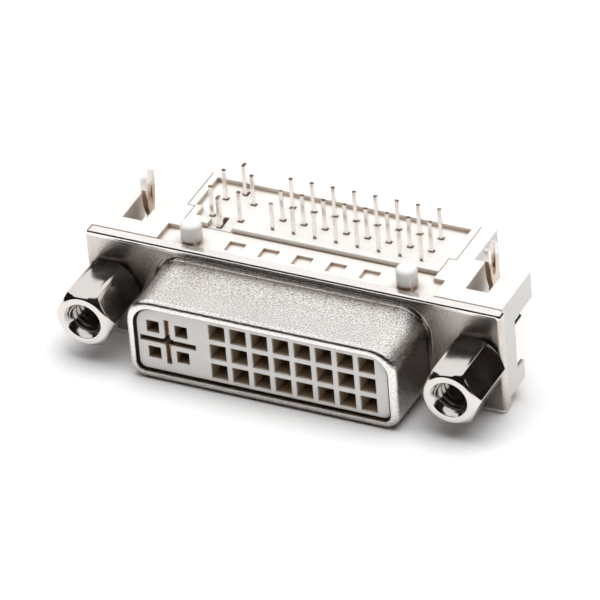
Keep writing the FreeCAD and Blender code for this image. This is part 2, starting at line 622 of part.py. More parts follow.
def jack_socket(name, side, turn):
    """Turned hex jack socket with a female thread in front and a screw end behind."""
    body = new_body(name)
    hexagon = new_sketch(body, "Hexagon", "XZ_Plane")
    corner = "JackFlats/2/cos(30)"
    draw_polygon(hexagon, [("%s*cos(%d)" % (corner, angle), "%s*sin(%d)" % (corner, angle))
                           for angle in range(0, 360, 60)])
    pad(body, hexagon, "JackReach")
    stud = draw_circle(new_sketch(body, "Stud", "XZ_Plane"), "0", "0", "StudDiameter")
    pad(body, stud, "EarSeat + BracketSheet + CollarLength - ThreadGap", against=True)
    slope = "(%s - JackRing/2)*tan(%%s)" % corner
    front = draw_polygon(new_sketch(body, "FrontChamfer", "YZ_Plane"), [
        ("-JackReach", "JackRing/2"), ("-JackReach", corner),
        ("-JackReach + " + slope % "JackChamfer", corner)])
    rear = draw_polygon(new_sketch(body, "RearChamfer", "YZ_Plane"), [
        ("0", "JackRing/2"), ("-" + slope % "JackRearChamfer", corner), ("0", corner)])
    bore = draw_polygon(new_sketch(body, "Bore", "YZ_Plane"), [
        ("-JackReach", "0"), ("-JackReach", "JackMouth/2"),
        ("-JackReach + (JackMouth - JackMinor)/2", "JackMinor/2"),
        ("-JackReach + JackBore", "JackMinor/2"), ("-JackReach + JackBore", "0")])
    for profile in (front, rear, bore):
        groove = body.newObject("PartDesign::Groove", profile.Name + "Groove")
        groove.Profile = profile
        groove.ReferenceAxis = (profile, ["H_Axis"])
    bind(body, "Placement.Base.x", side + "JackSpacing/2")
    body.Placement.Rotation = FreeCAD.Rotation(V(0, 1, 0), -number_of(turn))
    return body


def lock_outline():
    """The fork of a board lock: a stem and two bowed legs with a barb each."""
    half, slit = "LockWidth/2", "LockSlit/2"
    leg = [("LockStem/2", "BracketHeight/2 - BracketSheet"),
           ("LockStem/2", "HousingTop - LockNeck"),
           (half + " - LockBow", "HousingTop - LockRoot"),
           (half, "LockTop - LockHook"),
           (half + " + LockBarb", "LockTop - LockHook + LockBarb"),
           (half, "LockTop"), (slit, "LockTop"), (slit, "LockTop - LockHook"),
           (slit + " - LockBow", "HousingTop"), ("LockBow/2", "HousingTop - LockRoot")]
    front = [("LockDepth - (%s)" % out, up) for out, up in leg]
    rear = [("LockDepth + (%s)" % out, up) for out, up in reversed(leg)]
    return front + rear


def board_lock(name):
    """Stamped bracket: wall with a threaded collar, wing, shelf and the forked board lock."""
    body = new_body(name)
    inner, outer = BRACKET_OUTER + " - BracketWidth", BRACKET_OUTER
    half = "BracketHeight/2"
    wall = draw_box(new_sketch(body, "Wall", "XZ_Plane", "-EarSeat"),
                    inner, outer, "-" + half, half)
    pad(body, wall, "BracketSheet", against=True)
    wing = draw_box(new_sketch(body, "Wing", "XZ_Plane", "-EarSeat"),
                    outer + " - BracketSheet", outer, "-" + half, half)
    pad(body, wing, "WingDepth", against=True)
    shelf = draw_box(new_sketch(body, "Shelf", "XY_Plane", half + " - BracketSheet"),
                     SLOT_CENTRE + " - LockTongue/2", outer + " - BracketSheet/2",
                     "EarSeat", "EarSeat + WingDepth")
    pad(body, shelf, "BracketSheet")
    tongue = draw_box(new_sketch(body, "Tongue", "XY_Plane", half + " - BracketSheet"),
                      SLOT_CENTRE + " - LockTongue/2", SLOT_CENTRE + " + LockTongue/2",
                      "EarSeat", "LockDepth + LockStem/2")
    pad(body, tongue, "BracketSheet")
    fork = draw_polygon(new_sketch(body, "Fork", "YZ_Plane", SLOT_CENTRE), lock_outline())
    pad(body, fork, "BracketSheet", both_ways=True)
    collar = draw_circle(new_sketch(body, "Collar", "XZ_Plane", "-EarSeat"),
                         "JackSpacing/2", "0", "CollarDiameter")
    pad(body, collar, "BracketSheet + CollarLength", against=True)
    thread = draw_circle(new_sketch(body, "Thread", "XZ_Plane", "0"),
                         "JackSpacing/2", "0", "StudDiameter + 2*ThreadGap")
    pocket(body, thread, "EarSeat + BracketSheet + 2*CollarLength")
    edge_x, seat, edge_z = number_of(outer), number_of("EarSeat"), number_of(half)
    soften(body, "Fillet", "WallBend",
           lambda box: near(box.XMin, edge_x) and near(box.YMax, seat))
    soften(body, "Fillet", "ShelfBend",
           lambda box: near(box.XMin, edge_x) and near(box.ZMin, edge_z))
    return body


def mirrored_copy(body, name):
    """The same piece made for the other side."""
    copy = doc.addObject("Part::Mirroring", name)
    copy.Label = name
    copy.Source = body
    copy.Base = V(0, 0, 0)
    copy.Normal = V(1, 0, 0)
    return copy


def all_pieces():
    """Make every piece of the connector."""
    pieces = [front_shell(), housing(), tail_spacer()]
    for row in range(ROWS):
        for column in range(COLUMNS):
            across = FIRST_COLUMN + " + %d*ContactSpacing" % column
            name = "contact_%d" % (row * COLUMNS + column + 1)
            pieces.append(contact(name, across, row_height(row), row_tail(row)))
    for i, (across, height, tail) in enumerate(analogue_places(), start=1):
        pieces.append(contact("contact_c%d" % i, across, height, tail))
    pieces.append(ground_contact("contact_c5"))
    pieces.append(jack_socket("jack_socket_left", "-", "LeftTurn"))
    pieces.append(jack_socket("jack_socket_right", "", "RightTurn"))
    right = board_lock("board_lock_right")
    pieces += [right, mirrored_copy(right, "board_lock_left")]
    return pieces


def check_all(pieces):
    """Stop if any object of the document failed or any piece is not one sound solid."""
    for thing in doc.Objects:
        if {"Invalid", "Error"} & set(thing.State):
            raise RuntimeError("%s failed: %s" % (thing.Name, thing.State))
    for piece in pieces:
        shape = piece.Shape
        if shape.isNull() or not shape.isValid() or len(shape.Solids) != 1:
            raise RuntimeError("%s is not one valid solid" % piece.Label)


def main():
    pieces = all_pieces()
    doc.recompute()
    check_all(pieces)
    os.makedirs("parts", exist_ok=True)
    for piece in pieces:
        piece.Shape.exportStep("parts/%s.step" % piece.Label)
        print("%-20s %8.2f mm3" % (piece.Label, piece.Shape.Volume))


main()
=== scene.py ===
import math

import bmesh
import bpy
from bpy.props import FloatProperty, FloatVectorProperty, PointerProperty
from mathutils import Matrix, Vector


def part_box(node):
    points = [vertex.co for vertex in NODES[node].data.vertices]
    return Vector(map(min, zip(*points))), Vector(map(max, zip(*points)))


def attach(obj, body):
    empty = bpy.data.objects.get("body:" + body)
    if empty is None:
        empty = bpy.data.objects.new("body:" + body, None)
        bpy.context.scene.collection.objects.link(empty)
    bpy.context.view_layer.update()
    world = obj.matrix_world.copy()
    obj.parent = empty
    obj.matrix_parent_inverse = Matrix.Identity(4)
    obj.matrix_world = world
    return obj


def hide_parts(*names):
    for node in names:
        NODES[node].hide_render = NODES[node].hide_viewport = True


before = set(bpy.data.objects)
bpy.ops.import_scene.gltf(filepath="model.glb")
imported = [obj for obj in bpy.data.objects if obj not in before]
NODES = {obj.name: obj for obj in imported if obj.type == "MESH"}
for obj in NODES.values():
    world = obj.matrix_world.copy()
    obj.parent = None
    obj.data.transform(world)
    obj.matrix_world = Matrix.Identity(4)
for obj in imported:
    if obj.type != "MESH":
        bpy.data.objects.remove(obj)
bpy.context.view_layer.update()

bl_info = {
    "name": "Board video connector",
    "version": (1, 0, 0),
    "blender": (4, 5, 0),
    "location": "3D View > Sidebar > Connector",
    "description": "Finishes the pieces of a right-angle video board connector",
    "category": "Object",
}

# Sizes are in metres, in the frame of the part: +X along the flange, -Y out of the mating face,
# +Z towards the circuit board, with the origin on the front face of the flange.
MM = 0.001
CONTACTS = [name for name in sorted(NODES) if name.startswith("contact_")]
SIDES = {"left": -1, "right": 1}

# How exactly the CAD meshes are read
WELD = 0.001 * MM  # corners this close to each other are one
NEAR = 0.01 * MM  # a corner this close to a radius or a level is on it
FLAT = math.radians(0.5)  # neighbouring faces that differ by less are one face
SHARP = math.radians(35)  # an edge that turns by more is rounded

# Where the looks change, from the start to the end of each change along the axis in its name
SHROUD_Y = (-0.6 * MM, -0.2 * MM)  # from the drawn shroud to the flange
RIM_Y = (-6.15 * MM, -5.75 * MM)  # from the shroud's rim to its side
PAN_Z = (4.3 * MM, 4.6 * MM)  # from the flange's face to its edges at the top and the bottom
PAN_Y = (-0.2 * MM, 0.0)  # the same, from the front to the back
MOUTH_Y = (-6.04 * MM, -5.75 * MM)  # from the face of the contact block into its holes
FOOT_Y = (-0.5 * MM, 0.2 * MM)  # from the contact block to the body of the housing
BLOCK_X = (11.0 * MM, 11.1 * MM)  # from inside the contact block to its ends
BLOCK_Z = (2.85 * MM, 2.92 * MM)  # from inside the contact block to its top and bottom
CUP_Y = (0.5 * MM, 1.5 * MM)  # from the gold cups to the tin tails
LEG_Z = (2.2 * MM, 2.6 * MM)  # from the wall of a board lock to its legs
FORK_Z = (6.0 * MM, 6.4 * MM)  # from its legs to its fork

# The female thread's ridge, in shares of the pitch, and how finely it is turned
RIDGE_FOOT = 0.375  # half the ridge's width at its root
RIDGE_FLANK = 0.315  # width of one flank
THREAD_STEPS = 64  # steps in one turn
THREAD_SAMPLES = 32  # steps across the ridge
THREAD_WELD = 0.002 * MM  # corners of two turns this close to each other are one
THREAD_SKIN = 0.004 * MM  # how far a trimmed thread lies behind the slope of the countersink

PEG_REACH = 2.1 * MM  # the shoulder of a peg isn't further than this under the peg's top
CROWN_REACH = 0.25 * MM  # nor are the edges that are rounded to a dome further than this

# The stage
FLOOR_REACH = 1.5  # from the middle of the floor to its sides
FLOOR_WHITE = (0.93, 0.93, 0.93, 1)
WALL_BROWN = (0.026, 0.018, 0.014, 1)
WALL_TOP = 28  # height of the walls behind the part, in degrees seen from the part
WALL_RISE = 40  # how many degrees higher they are on the camera's side
WALL_FOOT = -0.1  # how far down they reach
CAMERA_SIDE = (0.44, -0.9)  # the camera's side, as a direction along X and Y
LAMP_PLACE = (0.02, 0.03, 0.40)
LAMP_SIZE = (0.5, 0.35)
SENSOR_WIDTH = 36  # of the camera, in millimetres
CLIP = (0.01, 10)  # nearest and furthest thing that the camera shows


def length(name, millimetres, description):
    """A size that the user may change, shown in the scene's units."""
    return FloatProperty(name=name, description=description, default=millimetres * MM,
                         min=0, unit="LENGTH", precision=5)


def tint(name, colour, description):
    """A colour that the user may change."""
    return FloatVectorProperty(name=name, description=description, default=colour,
                               size=3, min=0, max=1, subtype="COLOR")


class ShellSettings(bpy.types.PropertyGroup):
    """The drawn front shell."""
    edge: length("Edge round", 0.05, "Radius of the cut edges of the sheet")
    grain: length("Grain", 0.12, "Size of one grain of the satin plate")
    relief: length("Relief", 0.035, "Height of the grain on the drawn shroud")
    # painted sheen: this lighter copy of the plate goes on the shroud and the turned edges; the
    # flange takes the darker one
    colour: tint("Nickel", (1.0, 0.96, 0.93), "Colour of the satin nickel plate on the shroud")
    flange: tint("Flange", (0.72, 0.67, 0.63), "Colour of the plate on the flange")
    dull: tint("In the corners", (0.10, 0.075, 0.06),
               "Colour of the plate in the shade of a corner")
    reach: length("Corner reach", 3.5, "How far the dull shade reaches out of a corner")
    pit: tint("In the pits", (0.24, 0.19, 0.16), "Colour of the plate in the pits of its grain")


class SocketSettings(bpy.types.PropertyGroup):
    """The two turned jack sockets."""
    edge: length("Edge round", 0.03, "Radius of the hexagon's edges")
    pitch: length("Thread pitch", 0.635, "Advance of the female thread in one turn")
    major: length("Thread root", 1.42, "Radius at the root of the female thread")
    dull: tint("In the corners", (0.10, 0.08, 0.065),
               "Colour of the plate in the shade of a corner")
    reach: length("Corner reach", 3.0, "How far the dull shade reaches out of a corner")
    colour: tint("Bright nickel", (0.76, 0.72, 0.69), "Colour of the bright nickel plate")


class PlasticSettings(bpy.types.PropertyGroup):
    """The housing and the tail spacer."""
    edge: length("Edge round", 0.04, "Radius of the moulded edges")
    dome: length("Peg round", 0.09, "Radius at the top of a locating peg")
    peg: length("Peg", 0.9, "Radius of a locating peg")
    shoulder: length("Peg shoulder", 1.2, "Radius of the low shoulder round a peg")
    foot: length("Peg foot", 0.93, "Radius that the shoulder is worn in to")
    white: tint("White", (0.86, 0.84, 0.81), "Colour of the moulded plastic")
    # painted shade: the dark brown mixed into the holes of the contacts
    hole_shade: tint("In the holes", (0.26, 0.19, 0.12), "Colour that the contacts lend to their holes")
    # painted shade: the warm colour that an occlusion mask mixes into the corners and slots
    corner: tint("In the corners", (0.40, 0.28, 0.19),
                 "Colour of the dust and shade in the corners")
    reach: length("Corner reach", 0.4, "How far the warm shade reaches out of a corner")


class ContactSettings(bpy.types.PropertyGroup):
    """The contacts and the board locks."""
    edge: length("Edge round", 0.04, "Radius of the stamped edges")
    tin: tint("Tin", (0.90, 0.86, 0.83), "Colour of the tin plate on tails and board locks")
    gold: tint("Gold", (0.55, 0.36, 0.20), "Colour of the plate on the spring cups")
    cut: tint("Cut end", (0.20, 0.13, 0.09), "Colour of the cut ends of the tails")


class StageSettings(bpy.types.PropertyGroup):
    """Floor, lamp and camera."""
    lean: FloatProperty(name="Lean", description="How far the part lies nose-down on the floor",
                        default=math.radians(8.6), subtype="ANGLE")
    focal: FloatProperty(name="Focal length", description="Camera lens on a 36 mm sensor",
                         default=504.5, unit="CAMERA")
    roll: FloatProperty(name="Roll", description="Turn of the camera about its own axis",
                        default=math.radians(4.73), subtype="ANGLE")
    place: FloatVectorProperty(name="Camera", description="Where the camera stands", size=3,
                               default=(0.26102, -0.49555, 0.39002), subtype="TRANSLATION")
    aim: FloatVectorProperty(name="Aim", description="What the camera looks at", size=3,
                             default=(0.00219, -0.00278, 0.00452), subtype="TRANSLATION")
    key: FloatProperty(name="Overhead lamp", description="Power of the overhead softbox, in watts",
                       default=1.5)
    sky: FloatProperty(name="Room light", description="Strength of the light from all round",
                       default=0.9)


GROUPS = {"shell": ShellSettings, "socket": SocketSettings, "plastic": PlasticSettings,
          "contact": ContactSettings, "stage": StageSettings}


# ---- node groups and materials


NOISE = (0.3, 0.7)  # nearly all values of a noise texture lie between these

# Sockets of a Mix node that mixes colours
MIX_FACTOR, MIX_FIRST, MIX_SECOND, MIX_RESULT = 0, 6, 7, 2


def new_group(name, inputs, outputs):
    """Start a shader node group with named sockets."""
    group = bpy.data.node_groups.new(name, "ShaderNodeTree")
    for label, kind, value in inputs:
        socket = group.interface.new_socket(label, in_out="INPUT", socket_type=kind)
        socket.default_value = value
    for label, kind in outputs:
        group.interface.new_socket(label, in_out="OUTPUT", socket_type=kind)
    return group


class Wires:
    """Adds nodes to a tree and links them."""

    def __init__(self, tree):
        self.tree = tree

    def add(self, kind, links=None, **values):
        """Add a node. Values set its properties, links its input sockets."""
        node = self.tree.nodes.new("ShaderNode" + kind)
        for name, value in values.items():
            setattr(node, name, value)
        for socket, value in (links or {}).items():
            self.join(value, node.inputs[socket])
        return node

    def join(self, value, socket):
        """Link another node's socket to a socket, or set a constant on it."""
        if isinstance(value, bpy.types.NodeSocket):
            self.tree.links.new(value, socket)
        else:
            socket.default_value = value

    def math(self, operation, first, second=0.0):
        """Calculate with one or two values."""
        return self.add("Math", {0: first, 1: second}, operation=operation).outputs[0]

    def ramp(self, value, low, high, start=0.0, end=1.0, smooth=True):
        """Map a value from low..high to start..end, held at the ends."""
        kind = "SMOOTHSTEP" if smooth else "LINEAR"
        node = self.add("MapRange", {"Value": value, "From Min": low, "From Max": high,
                                     "To Min": start, "To Max": end}, interpolation_type=kind)
        return node.outputs["Result"]

    def mix(self, factor, first, second):
        """Mix two colours."""
        node = self.add("Mix", data_type="RGBA")
        self.join(factor, node.inputs[MIX_FACTOR])
        self.join(first, node.inputs[MIX_FIRST])
        self.join(second, node.inputs[MIX_SECOND])
        return node.outputs[MIX_RESULT]

    def corners(self, reach, shut, free, most):
        """A mask of the corners. It is at its most where no more than the share shut of the
        surroundings is open, as far as the reach, and 0 where the share free is."""
        near = self.add("AmbientOcclusion", {"Distance": reach}, samples=8)
        return self.ramp(near.outputs["AO"], shut, free, most, 0.0)


def rgba(colour, shade=1.0):
    """A colour for a socket, made lighter or darker."""
    return (colour[0] * shade, colour[1] * shade, colour[2] * shade, 1.0)


def grain_group():
    """Fine grain of a plated or moulded surface: a height and a mask of slow variation."""
    group = new_group("Fine grain", [
        ("Grain", "NodeSocketFloat", 4000.0), ("Patches", "NodeSocketFloat", 200.0)],
        [("Height", "NodeSocketFloat"), ("Patch", "NodeSocketFloat")])
    wires = Wires(group)
    entry, leave = group.nodes.new("NodeGroupInput"), group.nodes.new("NodeGroupOutput")
    place = wires.add("TexCoord").outputs["Object"]
    fine = wires.add("TexNoise", {"Vector": place, "Scale": entry.outputs["Grain"], "Detail": 3.0,
                                  "Roughness": 0.6})
    slow = wires.add("TexNoise", {"Vector": place, "Scale": entry.outputs["Patches"],
                                  "Detail": 2.0, "Roughness": 0.5})
    wires.join(fine.outputs["Fac"], leave.inputs["Height"])
    wires.join(slow.outputs["Fac"], leave.inputs["Patch"])
    return group


def new_material(name):
    """A material with a bare Principled shader, and the wires to dress it."""
    material = bpy.data.materials.new(name)
    material.use_nodes = True
    return material, Wires(material.node_tree), material.node_tree.nodes["Principled BSDF"]


def object_axes(wires):
    """The three Object coordinates, in metres."""
    place = wires.add("TexCoord").outputs["Object"]
    return wires.add("SeparateXYZ", {0: place}).outputs


def bumped(wires, shader, height, distance, strength):
    """Feed a height to the shader's normal."""
    bump = wires.add("Bump", {"Height": height, "Distance": distance, "Strength": strength})
    wires.join(bump.outputs["Normal"], shader.inputs["Normal"])


def use_grain(wires, group, grain, patches):
    """Place the grain group, with the sizes of one grain and of one patch."""
    node = wires.add("Group", node_tree=group)
    node.inputs["Grain"].default_value = 1 / grain
    node.inputs["Patches"].default_value = 1 / patches
    return node.outputs


def shell_material(settings, grain_tree):
    """Satin nickel. The drawn shroud is grainier than the flange, and like the edges it gets a
    painted sheen: a lighter copy of the plate.
    """
    material, wires, shader = new_material("satin_nickel")
    shader.inputs["Metallic"].default_value = 1.0
    grain = use_grain(wires, grain_tree, settings.grain, patches=6 * MM)
    axes = object_axes(wires)
    drawn = wires.ramp(axes["Y"], *SHROUD_Y, 1.0, 0.0)
    rim = wires.ramp(axes["Y"], *RIM_Y, 1.0, 0.0)
    level = wires.math("ABSOLUTE", axes["Z"])
    turned = wires.math("MULTIPLY", wires.ramp(level, *PAN_Z), wires.ramp(axes["Y"], *PAN_Y))
    # the grain is full on the side of the shroud, less on flange and rim, least on the edges
    rough = wires.ramp(wires.math("SUBTRACT", drawn, rim), 0.0, 1.0, start=0.7, end=1.0)
    rough = wires.math("MULTIPLY", rough, wires.ramp(turned, 0.0, 1.0, start=1.0, end=0.2))
    # painted sheen on the shroud and painted highlight on the turned edges: both take the lighter
    # plate
    bright = wires.math("MAXIMUM", drawn, turned)
    colour = wires.mix(bright, rgba(settings.flange), rgba(settings.colour))
    shade = wires.math("MULTIPLY", wires.corners(settings.reach, shut=0.3, free=0.9, most=0.75),
                       wires.ramp(turned, 0.0, 1.0, 1.0, 0.0))
    # the crests of the grain stay brighter in the shade
    specks = wires.math("MULTIPLY", drawn,
                        wires.ramp(grain["Height"], 0.42, 0.56, start=0.0, end=0.4))
    shade = wires.math("SUBTRACT", shade, wires.math("MULTIPLY", shade, specks))
    colour = wires.mix(shade, colour, rgba(settings.dull))
    pits = wires.math("MULTIPLY", rough,
                      wires.ramp(grain["Height"], 0.38, 0.56, start=0.58, end=0.0))
    pits = wires.math("ADD", pits, wires.ramp(grain["Patch"], *NOISE, start=0.06, end=0.0))
    colour = wires.mix(pits, colour, rgba(settings.pit))
    wires.join(colour, shader.inputs["Base Color"])
    wires.join(wires.ramp(grain["Height"], *NOISE, start=0.12, end=0.2),
               shader.inputs["Roughness"])
    height = wires.math("MULTIPLY", grain["Height"], rough)
    bumped(wires, shader, height, settings.relief, strength=1.0)
    return material


def socket_material(settings, grain_tree):
    """Bright nickel with faint handling marks, dull in the shade of a corner."""
    material, wires, shader = new_material("bright_nickel")
    shader.inputs["Metallic"].default_value = 1.0
    grain = use_grain(wires, grain_tree, grain=0.5 * MM, patches=2 * MM)
    colour = wires.mix(grain["Patch"], rgba(settings.colour, shade=0.95),
                       rgba(settings.colour, shade=1.05))
    colour = wires.mix(wires.corners(settings.reach, shut=0.2, free=0.9, most=0.6), colour,
                       rgba(settings.dull))
    wires.join(colour, shader.inputs["Base Color"])
    wires.join(wires.ramp(grain["Patch"], *NOISE, start=0.10, end=0.2),
               shader.inputs["Roughness"])
    bumped(wires, shader, grain["Height"], distance=0.01 * MM, strength=0.5)
    return material


def plastic_material(name, settings, grain_tree, holes):
    """White moulded plastic, with a painted warm shade in its corners and a painted brown shade in
    the holes of the contacts.
    """
    material, wires, shader = new_material(name)
    grain = use_grain(wires, grain_tree, grain=0.12 * MM, patches=5 * MM)
    colour = wires.mix(grain["Patch"], rgba(settings.white, shade=0.985),
                       rgba(settings.white, shade=1.01))
    # a narrow shade in each corner, and a wide one in the slots between the tails
    colour = wires.mix(wires.corners(settings.reach, shut=0.3, free=0.95, most=0.85), colour,
                       rgba(settings.corner))
    colour = wires.mix(wires.corners(6 * settings.reach, shut=0.3, free=0.8, most=0.85), colour,
                       rgba(settings.corner))
    if holes:
        axes = object_axes(wires)
        # painted brown shade on the walls of the contact holes, from the block's face back to the
        # body
        inside = wires.math("MULTIPLY", wires.ramp(axes["Y"], *MOUTH_Y),
                            wires.ramp(axes["Y"], *FOOT_Y, 1.0, 0.0))
        colour = wires.mix(inside, colour, rgba(settings.hole_shade))
        # painted shade, near black, on the outside of the contact block, in the gap to the shroud
        outer = wires.math("MAXIMUM", wires.ramp(wires.math("ABSOLUTE", axes["X"]), *BLOCK_X),
                           wires.ramp(wires.math("ABSOLUTE", axes["Z"]), *BLOCK_Z))
        colour = wires.mix(wires.math("MULTIPLY", outer, inside), colour,
                           rgba(settings.hole_shade, shade=0.15))
    wires.join(colour, shader.inputs["Base Color"])
    shader.inputs["Subsurface Weight"].default_value = 0.3
    shader.inputs["Subsurface Radius"].default_value = (1.0, 0.85, 0.7)
    shader.inputs["Subsurface Scale"].default_value = 0.8 * MM
    wires.join(wires.ramp(grain["Height"], *NOISE, start=0.42, end=0.52),
               shader.inputs["Roughness"])
    bumped(wires, shader, grain["Height"], distance=0.01 * MM, strength=0.4)
    return material


def contact_material(settings, grain_tree):
    """Tin on the tails, gold on the cups, bare copper alloy at the cut ends."""
    material, wires, shader = new_material("contact_plate")
    shader.inputs["Metallic"].default_value = 1.0
    grain = use_grain(wires, grain_tree, grain=0.25 * MM, patches=1.2 * MM)
    axes = object_axes(wires)
    top = max(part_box(name)[1].z for name in CONTACTS)
    colour = wires.mix(grain["Patch"], rgba(settings.tin, shade=0.92),
                       rgba(settings.tin, shade=1.06))
    colour = wires.mix(wires.ramp(axes["Y"], *CUP_Y), rgba(settings.gold), colour)
    # the bare end starts at a ragged line just under the top
    ragged = wires.math("ADD", axes["Z"],
                        wires.ramp(grain["Height"], *NOISE, start=-0.06 * MM, end=0.06 * MM))
    colour = wires.mix(wires.ramp(ragged, top - 0.10 * MM, top - 0.02 * MM), colour,
                       rgba(settings.cut))
    wires.join(colour, shader.inputs["Base Color"])
    wires.join(wires.ramp(grain["Patch"], *NOISE, start=0.16, end=0.3),
               shader.inputs["Roughness"])
    bumped(wires, shader, grain["Height"], distance=0.02 * MM, strength=0.5)
    return material


def lock_material(settings, grain_tree):
    """Bright tin on the stamped board locks, with gold showing on their legs."""
    material, wires, shader = new_material("lock_plate")
    shader.inputs["Metallic"].default_value = 1.0
    grain = use_grain(wires, grain_tree, grain=0.4 * MM, patches=1.5 * MM)
    colour = wires.mix(grain["Patch"], rgba(settings.tin, shade=0.88),
                       rgba(settings.tin, shade=1.05))
    level = object_axes(wires)["Z"]
    legs = wires.math("MULTIPLY", wires.ramp(level, *LEG_Z, start=0.0, end=0.6),
                      wires.ramp(level, *FORK_Z, 1.0, 0.0))
    colour = wires.mix(legs, colour, rgba(settings.gold))
    wires.join(colour, shader.inputs["Base Color"])
    wires.join(wires.ramp(grain["Patch"], *NOISE, start=0.12, end=0.24),
               shader.inputs["Roughness"])
    bumped(wires, shader, grain["Height"], distance=0.03 * MM, strength=0.5)
    return material


# ---- pieces


def welded(node):
    """A bmesh copy of a CAD node, its triangles joined and its flats merged."""
    bm = bmesh.new()
    bm.from_mesh(NODES[node].data)
    bmesh.ops.remove_doubles(bm, verts=bm.verts, dist=WELD)
    bmesh.ops.dissolve_limit(bm, angle_limit=FLAT, verts=bm.verts, edges=bm.edges)
    return bm


def new_object(bm, name, material):
    """Turn a bmesh into an object of one material and put it in the scene."""
    mesh = bpy.data.meshes.new(name)
    bm.to_mesh(mesh)
    bm.free()
    mesh.materials.append(material)
    made = bpy.data.objects.new(name, mesh)
    bpy.context.scene.collection.objects.link(made)
    return made


def finish_piece(bm, name, nodes, material, edge):
    """Make the finished piece of a bmesh, with rounded edges, in place of its CAD nodes."""
    bmesh.ops.triangulate(bm, faces=[f for f in bm.faces if len(f.verts) > 4],
                          quad_method="BEAUTY", ngon_method="BEAUTY")
    piece = new_object(bm, name, material)
    for face in piece.data.polygons:
        face.use_smooth = True
        face.material_index = 0
    piece.data.set_sharp_from_angle(angle=SHARP)
    bevel = piece.modifiers.new("Rounded edges", "BEVEL")
    bevel.width = edge
    bevel.segments = 2
    bevel.limit_method = "ANGLE"
    bevel.angle_limit = SHARP
    bevel.use_clamp_overlap = False
    bevel.harden_normals = True
    even = piece.modifiers.new("Even shading", "WEIGHTED_NORMAL")
    even.keep_sharp = True
    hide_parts(*nodes)
    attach(piece, "root")


class PieceOperator:
    """What the operators of the pieces share."""
    bl_options = {"REGISTER", "UNDO"}

    def grain_tree(self):
        """The grain group, made when it is first asked for."""
        return bpy.data.node_groups.get("Fine grain") or grain_group()


class CONNECTOR_OT_shell(PieceOperator, bpy.types.Operator):
    """Finish the drawn front shell"""
    bl_idname = "connector.shell"
    bl_label = "Front shell"

    def execute(self, context):
        settings = context.scene.connector_shell
        material = shell_material(settings, self.grain_tree())
        finish_piece(welded("front_shell"), "satin_front_shell", ["front_shell"],
                     material, settings.edge)
        return {"FINISHED"}


class CONNECTOR_OT_plastic(PieceOperator, bpy.types.Operator):
    """Finish the white housing with its pegs, and the tail spacer"""
    bl_idname = "connector.plastic"
    bl_label = "Housing and tail spacer"

    def execute(self, context):
        settings = context.scene.connector_plastic
        bm = welded("housing")
        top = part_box("housing")[1].z
        for sign in SIDES.values():
            self.worn_peg(bm, top, sign, settings)
        crown = [e for e in bm.edges if e.calc_face_angle(0) > SHARP
                 and min(v.co.z for v in e.verts) > top - CROWN_REACH
                 and abs(e.verts[0].co.z - e.verts[1].co.z) < NEAR]
        bmesh.ops.bevel(bm, geom=crown, offset=settings.dome, segments=3, profile=0.5,
                        affect="EDGES", material=-1)
        finish_piece(bm, "moulded_housing", ["housing"],
                     plastic_material("moulded_white", settings, self.grain_tree(), True),
                     settings.edge)
        finish_piece(welded("tail_spacer"), "moulded_tail_spacer", ["tail_spacer"],
                     plastic_material("spacer_white", settings, self.grain_tree(), False),
                     settings.edge)
        return {"FINISHED"}

    def worn_peg(self, bm, top, sign, settings):
        """Draw the low shoulder round a peg in to a slim foot."""
        crown = [v.co for v in bm.verts if v.co.z > top - NEAR and v.co.x * sign > 0]
        middle = sum(crown, Vector()) / len(crown)

        def out(vert):
            return math.hypot(vert.co.x - middle.x, vert.co.y - middle.y)

        def within(vert):
            return settings.peg - NEAR < out(vert) < settings.shoulder + NEAR

        ring = [v for v in bm.verts if abs(out(v) - settings.shoulder) < NEAR
                and v.co.z > top - PEG_REACH]
        ledge = min(v.co.z for v in ring)
        # the shoulder's top drops to its ledge where nothing else of the housing meets it
        free = [v for v in ring if all(within(w) for f in v.link_faces for w in f.verts)]
        for v in free:
            v.co.z = ledge
        share = settings.foot / settings.shoulder
        bmesh.ops.scale(bm, vec=(share, share, 1), verts=ring,
                        space=Matrix.Translation((-middle.x, -middle.y, 0)))
        bmesh.ops.remove_doubles(bm, verts=ring, dist=WELD)


